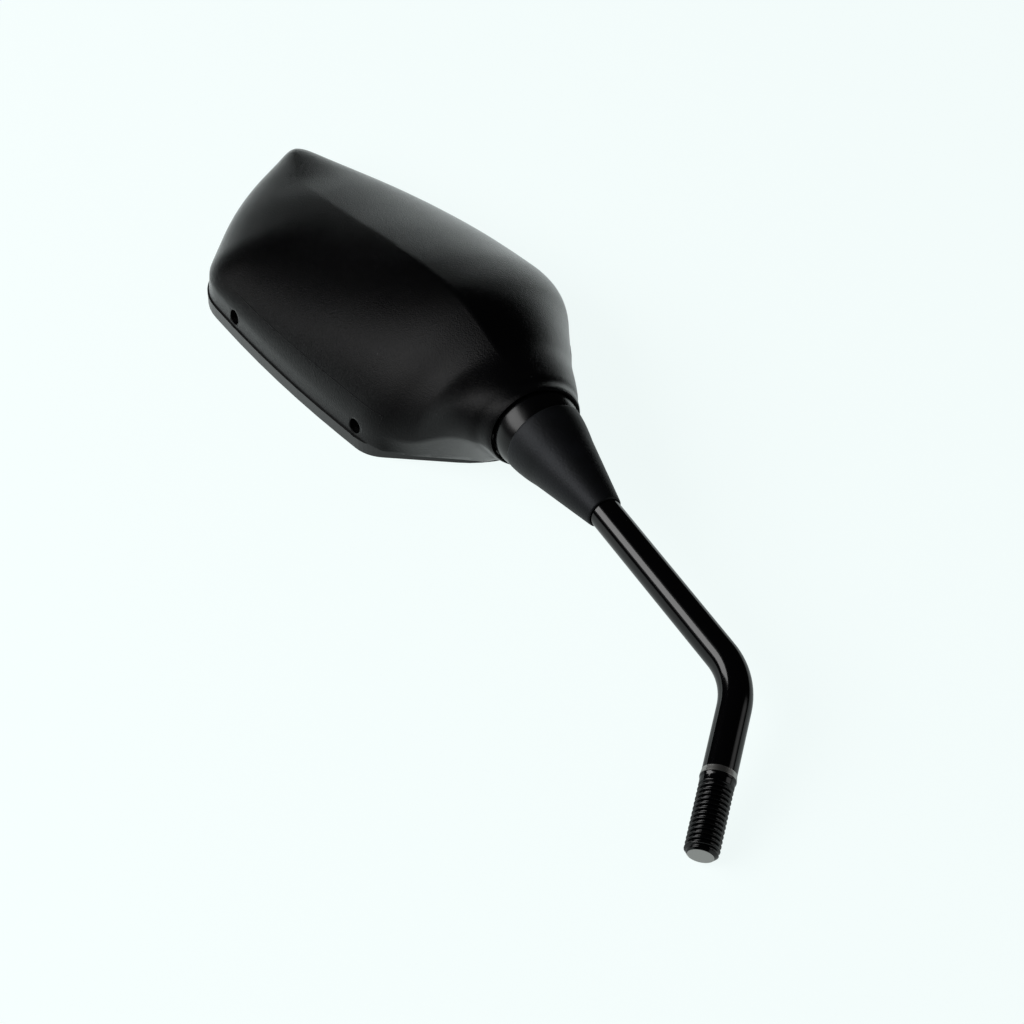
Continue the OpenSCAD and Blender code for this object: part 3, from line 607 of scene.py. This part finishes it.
def build_stem(lacquer, bare):
    """The bent rod with its cut thread and its collar."""
    thread_rows, rod_rows, around = 190, 90, 64
    rows = [THREAD_LEN * i / thread_rows for i in range(thread_rows)]
    rows += [THREAD_LEN + (ROD_LEN - THREAD_LEN) * (i / rod_rows) for i in range(rod_rows + 1)]
    rows = sorted(set(rows + [THREAD_LEN + RUNOUT + k * COLLAR_CONE / 4 for k in range(5)]
                      + [THREAD_LEN + COLLAR_TOP - k * COLLAR_SLOPE / 4 for k in range(5)]))

    def place(u, v):
        s = rows[round(v * (len(rows) - 1))]
        centre, lean = stem_path(s)
        turn = (round(u * around) % around) / around
        r, a = stem_radius(s, turn), turn * math.tau
        side = Vector((math.cos(lean), 0, -math.sin(lean))) * math.cos(a) + Vector((0, 1, 0)) * math.sin(a)
        return (centre + side * r) * MM

    bm = skin(around, len(rows) - 1, place)
    ends = bmesh.ops.holes_fill(bm, edges=[e for e in bm.edges if e.is_boundary], sides=0)["faces"]
    outward(bm)
    cut = [f for f in ends if f.calc_center_median().z < 0]
    # The thread's end is bare, and so is the cone above the thread, where the lacquer is rubbed off
    for face in bm.faces:
        z = face.calc_center_median().z / MM
        if face in cut or COLLAR_TOP - COLLAR_SLOPE < z < COLLAR_TOP:
            face.material_index = 1
    bmesh.ops.inset_region(bm, faces=cut, thickness=0.25 * MM, depth=0.0, use_even_offset=True)
    return piece("stem_rod", bm, "stem", [lacquer, bare], ["stem"])


def build_stem_top(bare):
    """The slim neck between the rod's shoulder and the ball."""
    flat = math.sqrt(BALL_R ** 2 - (NECK_D / 2) ** 2)
    profile = [(0, -SHOULDER_AT), (STEM_R, -SHOULDER_AT), (NECK_D / 2, -SHOULDER_AT + 0.6),
               (NECK_D / 2, -flat), (0, -flat)]
    return piece("stem_neck", turned(profile, 48, TO_BALL), "stem", [bare])


def build_dome(gloss):
    """The dust dome: a thin spherical cover from the stem's slim neck to past the ball's middle."""
    steps = 40
    first = math.asin((NECK_D / 2 + NECK_PLAY) / DOME_R)

    def sphere(r, a, b):
        turns = [mix(a, b, i / steps) for i in range(steps + 1)]
        return [(r * math.sin(t), -r * math.cos(t)) for t in turns]

    outer, inner = sphere(DOME_R, first, DOME_TO), sphere(DOME_R - DOME_T, DOME_TO, first)
    return piece("dust_dome_shell", turned(outer + inner, 128, TO_BALL), "stem", [gloss],
                 ["dust_dome"])


def build_boot(rubber):
    """The boot: a curved shoulder against the dome, then a straight cone down to its grip on the rod."""
    rim_r = math.sqrt(DOME_R ** 2 - BOOT_FROM ** 2) + BOOT_LAP
    mouth = -BOOT_FROM - BOOT_LEN
    hip = Vector((mix(BOOT_MOUTH_R, rim_r, HIP_WIDE), -BOOT_FROM - BOOT_LEN * HIP_DOWN))
    shoulder = [Vector((rim_r, -BOOT_FROM)), Vector((rim_r - 0.35, -BOOT_FROM - 4.5)), hip]
    outer = [bezier(shoulder, i / 16) for i in range(17)]
    outer += [mix(hip, Vector((BOOT_MOUTH_R, mouth + 0.6)), i / 12) for i in range(1, 13)]
    outer += [Vector((BOOT_MOUTH_R - 0.12, mouth + 0.2)), Vector((BOOT_MOUTH_R - 0.4, mouth))]
    bore = STEM_R + BOOT_PLAY
    inner = [Vector((bore, mouth)), Vector((bore, mouth + BOOT_GRIP)), Vector((hip.x - BOOT_T, hip.y)),
             Vector((rim_r - BOOT_T - 0.6, -BOOT_FROM - 4.8)),
             Vector((rim_r - BOOT_LAP + 0.02, -BOOT_FROM - 0.1)), Vector((rim_r - 0.15, -BOOT_FROM + 0.12))]
    profile = [(p.x, p.y) for p in outer + inner]
    return piece("boot_cone", turned(profile, 96, TO_BALL), "stem", [rubber], ["boot"])


# Glass
def holder_outline(inset, count):
    """The holder's outline moved inwards, as evenly spaced points in the head's plan."""
    plan = [(INNER_LOW, 12)] + head_plan() + [(INNER_HIGH, 14)]
    n = len(plan)
    path = [p for i in range(n)
            for p in corner(plan[i - 1][0], plan[i][0], plan[(i + 1) % n][0], plan[i][1])]
    steps = [(path[(i + 1) % len(path)] - p).length for i, p in enumerate(path)]
    total, points, i, run = sum(steps), [], 0, 0.0
    for k in range(count):
        want = total * k / count
        while run + steps[i] < want:
            run += steps[i]
            i += 1
        points.append(mix(path[i], path[(i + 1) % len(path)], (want - run) / max(steps[i], 1e-9)))
    out = []
    for k, p in enumerate(points):
        d = (points[(k + 1) % count] - points[k - 1]).normalized()
        out.append(p + Vector((-d.y, d.x)) * inset)
    return out


def glass_height(p):
    """Height of the domed glass over the front edge, at a point of the plan."""
    reach = (p - GLASS_MID).length
    return GLASS_LOW + GLASS_R - math.sqrt(GLASS_R ** 2 - reach ** 2)


def build_glass(mirror):
    """The convex glass, which fills the holder's rim but for a small gap."""
    around, out = 240, 24
    rim = holder_outline(RIM_W + GLASS_GAP, around)

    def place(u, v):
        p = mix(GLASS_MID, rim[round(u * around) % around], v)
        return from_head((p.x, p.y, glass_height(p)))

    bm = skin(around, out, place)
    bmesh.ops.recalc_face_normals(bm, faces=bm.faces)
    bm.faces.ensure_lookup_table()
    if bm.faces[0].normal.dot(BACK_WAY) > 0:
        bmesh.ops.reverse_faces(bm, faces=bm.faces)
    made = piece("convex_glass", bm, "head", [mirror], ["mirror_glass"])
    modifier(made, "SOLIDIFY", thickness=(GLASS_T - GLASS_THIN) * MM, offset=-1)
    modifier(made, "BEVEL", width=0.4 * MM, segments=2, limit_method="ANGLE", angle_limit=SHARP)
    return settle(made)


# Floor, light and camera
TABLE_SIZE, TABLE_LEVEL, TABLE_SHARE = 3.0, 1.06, 0.88
ROOM_LIGHT, WINDOW_GLOW, RIGHT_GLOW = 0.01, 0.6, 0.7
WINDOW_WIDE, WINDOW_HIGH, WINDOW_WATTS = 1.2, 0.58, 8.5
CAMERA_AT = Vector((-144.45, 645.52, -341.14)) * MM
CAMERA_AXES = ((-0.95562, -0.17525, 0.23680), (0.09776, 0.56958, 0.81610), (-0.27791, 0.80304, -0.52717))
SENSOR, FOCAL_PIXELS, PICTURE_PIXELS = 36, 2700, 1024


def build_floor():
    """The white table that the head's front edge and the stem's end lie on, which keeps the shadow."""
    bm = bmesh.new()
    bmesh.ops.create_grid(bm, x_segments=1, y_segments=1, size=TABLE_SIZE)
    bmesh.ops.transform(bm, matrix=facing(from_head((60, 0, -0.05)), BACK_WAY), verts=bm.verts)
    floor = placed("table", mesh_of("table", bm))
    floor.data.materials.append(table_laminate())


def table_laminate():
    """Smooth white table top, which the camera and glossy skins see at the level that the photo has."""
    made = bpy.data.materials.new("white_table_laminate")
    made.use_nodes = True
    tree = made.node_tree
    tree.nodes.clear()
    matt = add(tree, "ShaderNodeBsdfDiffuse", {"Color": linear("#F6FAF9")})
    glow = add(tree, "ShaderNodeEmission", {"Color": linear("#F6FFFE"), "Strength": 1.0})
    ray = add(tree, "ShaderNodeLightPath")
    # What glossy skins mirror of the table: it is bright near the object and ends in the dark room
    place = add(tree, "ShaderNodeTexCoord").outputs["Object"]
    middle = from_head((60, 20, 0))
    beyond = middle + from_table(-20, 0) * 0.25

    def lit(centre, start, end, least, most):
        """Brightness that rises from least to most as the distance to centre falls from start to end."""
        away = add(tree, "ShaderNodeVectorMath", {0: place, 1: centre}, operation="DISTANCE")
        return add(tree, "ShaderNodeMapRange",
                   {"Value": away.outputs["Value"], "From Min": start, "From Max": end, "To Min": least,
                    "To Max": most}, interpolation_type="SMOOTHSTEP").outputs[0]

    near = add(tree, "ShaderNodeMath", {0: lit(middle, 0.5, 0.2, 0.02, 0.45),
                                        1: lit(beyond, 0.4, 0.12, 0.0, 1.0)}, operation="ADD")
    shine = add(tree, "ShaderNodeMath", {0: ray.outputs["Is Glossy Ray"], 1: near.outputs[0],
                                         2: ray.outputs["Is Camera Ray"]}, operation="MULTIPLY_ADD")
    level = add(tree, "ShaderNodeMath", {0: shine.outputs[0], 1: TABLE_LEVEL}, operation="MULTIPLY")
    tree.links.new(level.outputs[0], glow.inputs["Strength"])
    seen = add(tree, "ShaderNodeMath", {0: ray.outputs["Is Camera Ray"], 1: ray.outputs["Is Glossy Ray"]},
               operation="MAXIMUM")
    share = add(tree, "ShaderNodeMath", {0: seen.outputs[0], 1: TABLE_SHARE}, operation="MULTIPLY")
    both = add(tree, "ShaderNodeMixShader", {0: share.outputs[0], 1: matt.outputs[0], 2: glow.outputs[0]})
    clear = add(tree, "ShaderNodeBsdfTransparent")
    behind = add(tree, "ShaderNodeNewGeometry").outputs["Backfacing"]
    face = add(tree, "ShaderNodeMixShader", {0: behind, 1: both.outputs[0], 2: clear.outputs[0]})
    out = add(tree, "ShaderNodeOutputMaterial")
    tree.links.new(face.outputs[0], out.inputs[0])
    return made


def from_table(turn, rise):
    """A direction by its turn to the right of the camera's way on, and by its rise above the table."""
    right = Vector(CAMERA_AXES[0])
    ahead = BACK_WAY.cross(right).normalized()
    turn, rise = math.radians(turn), math.radians(rise)
    level = math.cos(turn) * ahead + math.sin(turn) * right
    return (math.cos(rise) * level + math.sin(rise) * BACK_WAY).normalized()


WINDOW_WAY, RIGHT_WAY = from_table(-106, 36), from_table(92, 18)


def build_world():
    """A dark room with a soft glow round the window and a weak one at the right."""
    world = bpy.data.worlds.new("studio")
    bpy.context.scene.world = world
    world.use_nodes = True
    tree = world.node_tree
    tree.nodes.clear()
    way = add(tree, "ShaderNodeTexCoord").outputs["Generated"]

    def share(direction, start, end):
        """How much light comes from a way: none up to start and all from end of its part along direction."""
        along = add(tree, "ShaderNodeVectorMath", {0: way, 1: direction}, operation="DOT_PRODUCT")
        return add(tree, "ShaderNodeMapRange",
                   {"Value": along.outputs["Value"], "From Min": start, "From Max": end},
                   interpolation_type="SMOOTHSTEP").outputs[0]

    halo = add(tree, "ShaderNodeMath", {0: share(WINDOW_WAY, 0.84, 0.97), 1: WINDOW_GLOW, 2: ROOM_LIGHT},
               operation="MULTIPLY_ADD")
    light = add(tree, "ShaderNodeMath", {0: share(RIGHT_WAY, 0.93, 0.985), 1: RIGHT_GLOW,
                                         2: halo.outputs[0]}, operation="MULTIPLY_ADD")
    studio = add(tree, "ShaderNodeBackground", {"Color": light.outputs[0], "Strength": 1.0})
    white = add(tree, "ShaderNodeBackground", {"Color": linear("#F4FFFD"), "Strength": 1.0})
    ray = add(tree, "ShaderNodeLightPath").outputs["Is Camera Ray"]
    both = add(tree, "ShaderNodeMixShader", {0: ray, 1: studio.outputs[0], 2: white.outputs[0]})
    out = add(tree, "ShaderNodeOutputWorld")
    tree.links.new(both.outputs[0], out.inputs[0])


def build_lights():
    """One large window at the left, which draws the pale bands on the stem and the dome."""
    lamp = bpy.data.lights.new("window", "AREA")
    lamp.shape, lamp.size, lamp.size_y, lamp.energy = "RECTANGLE", WINDOW_WIDE, WINDOW_HIGH, WINDOW_WATTS
    made = placed("window", lamp)
    level = BACK_WAY.cross(WINDOW_WAY).normalized()
    turned_to = Matrix((level, WINDOW_WAY.cross(level), WINDOW_WAY)).transposed().to_4x4()
    made.matrix_world = Matrix.Translation(from_head((60, 0, 20)) + WINDOW_WAY) @ turned_to


def build_camera():
    """The camera where the photo was taken from, with the photo's own perspective."""
    data = bpy.data.cameras.new("camera")
    data.sensor_width, data.lens = SENSOR, SENSOR * FOCAL_PIXELS / PICTURE_PIXELS
    data.clip_start, data.clip_end = 0.02, 20
    made = placed("camera", data)
    right, up, back = (Vector(a) for a in CAMERA_AXES)
    made.matrix_world = Matrix.Translation(CAMERA_AT) @ Matrix((right, up, back)).transposed().to_4x4()
    bpy.context.scene.camera = made


build_camera()
LACQUER, RUBBER, GLOSS, GRAIN = stove_lacquer(), moulded_rubber(), polished_plastic(), grained_abs()
BARE = steel("sawn_steel", "#C2C2BF", 0.36, 0.3)
ZINC = steel("zinc_plated_steel", "#B9BBB8", 0.3, 0.5)
OILED = steel("oiled_steel", "#8E8F90", 0.28, 0.4)
ACETAL = plain_moulding("turned_acetal", "#E3DCCB", 0.35)
NYLON = plain_moulding("filled_nylon", "#2B2B2D", 0.5)
SATIN = plain_moulding("satin_abs", "#141415", 0.42)
FOAM = plain_moulding("adhesive_foam", "#3A3B3C", 0.9)
MIRROR = silvered_glass()

build_housing(GRAIN)
build_witness_line(GRAIN)
build_stem(LACQUER, BARE)
build_stem_top(OILED)
build_dome(GLOSS)
build_boot(RUBBER)
build_glass(MIRROR)

NODE_FINISH = {"stem_ball": OILED, "grip_ring": RUBBER, "seat_ring": ACETAL, "seat_cup": ACETAL,
               "ball_socket": NYLON, "socket_screws": ZINC, "socket_washers": ZINC, "pressure_pad": NYLON,
               "joint_spring": OILED, "spring_plate": ZINC, "retaining_ring": OILED, "glass_holder": SATIN,
               "holder_screws": ZINC, "foam_pad": FOAM}
for node_name, material in NODE_FINISH.items():
    mesh = frame["nodes"][node_name].data
    mesh.materials.clear()
    mesh.materials.append(material)

build_floor()
build_world()
build_lights()

bpy.context.scene.view_settings.view_transform = "Standard"
